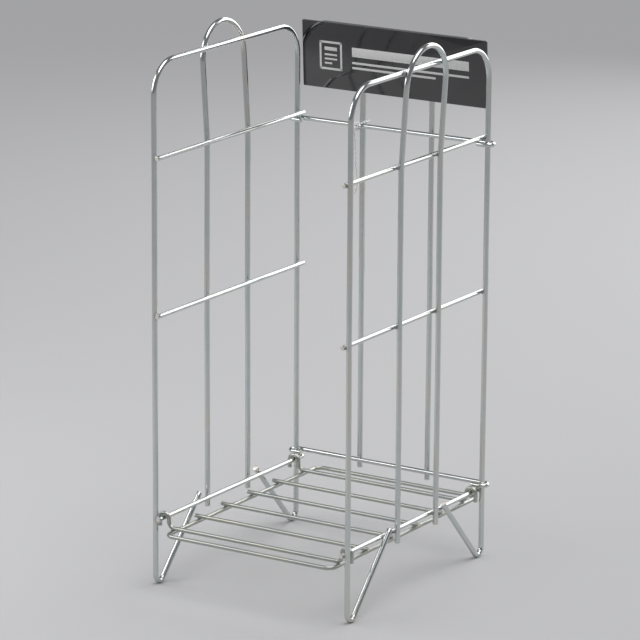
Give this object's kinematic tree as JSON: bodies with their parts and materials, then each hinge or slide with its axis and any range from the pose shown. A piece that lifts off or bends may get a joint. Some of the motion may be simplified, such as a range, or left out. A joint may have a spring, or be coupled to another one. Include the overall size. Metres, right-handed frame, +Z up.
{
  "type": "wire newspaper rack",
  "caption": "Free-standing plated wire rack for folded newspapers: looped side panels hinged to a back panel, a hook-on wire shelf and a plain dark sign plate.",
  "frame": {"origin": "on the floor, at the middle of the rack's bounding box", "axes": "+Z up; +Y from the open front towards the back panel and its sign; +X to the right for someone facing the rack's open front"},
  "size_m": [0.3286, 0.3864, 0.7445],
  "materials": {
    "zinc_plating": "bright zinc plating over drawn steel wire",
    "tie_steel": "soft galvanised tie wire",
    "sign_plastic": "gloss black sheet with a plain white rule",
    "foam_tape": "white double-sided foam tape"
  },
  "bodies": {
    "back_panel": {"back_upper_hinge_rail": "zinc_plating", "back_lower_hinge_rail": "zinc_plating", "back_loop_wire": "zinc_plating", "sign_holder_wire": "zinc_plating", "sign_plate": "sign_plastic", "sign_foam_strip": "foam_tape", "sign_foam_pad_left": "foam_tape", "sign_foam_pad_right": "foam_tape", "tie_wire": "tie_steel"},
    "left_panel": {"left_frame_wire": "zinc_plating", "left_loop_wire": "zinc_plating", "left_upper_rail": "zinc_plating", "left_middle_rail": "zinc_plating", "left_bottom_rail": "zinc_plating"},
    "right_panel": {"right_frame_wire": "zinc_plating", "right_loop_wire": "zinc_plating", "right_upper_rail": "zinc_plating", "right_middle_rail": "zinc_plating", "right_bottom_rail": "zinc_plating"},
    "shelf": {"shelf_ring": "zinc_plating", "shelf_front_hook_wire": "zinc_plating", "shelf_rear_hook_wire": "zinc_plating", "shelf_cross_wire_1": "zinc_plating", "shelf_cross_wire_2": "zinc_plating", "shelf_cross_wire_3": "zinc_plating", "shelf_cross_wire_4": "zinc_plating"}
  },
  "joints": [
    {"name": "left_panel_hinge", "type": "hinge", "parent": "back_panel", "child": "left_panel", "pos_m": [-0.151, 0.1665, 0.29987], "axis": [0, 0, 1], "range_deg": [-0.6, 0.6]},
    {"name": "right_panel_hinge", "type": "hinge", "parent": "back_panel", "child": "right_panel", "pos_m": [0.151, 0.1665, 0.29987], "axis": [0, 0, 1], "range_deg": [-0.6, 0.6]},
    {"name": "shelf_lift", "type": "slide", "parent": "left_panel", "child": "shelf", "axis": [0, 0, 1], "range_m": [0, 0.02]}
  ],
  "couplings": [
    {"joint": "right_panel_hinge", "follows": "left_panel_hinge", "ratio": 1}
  ]
}
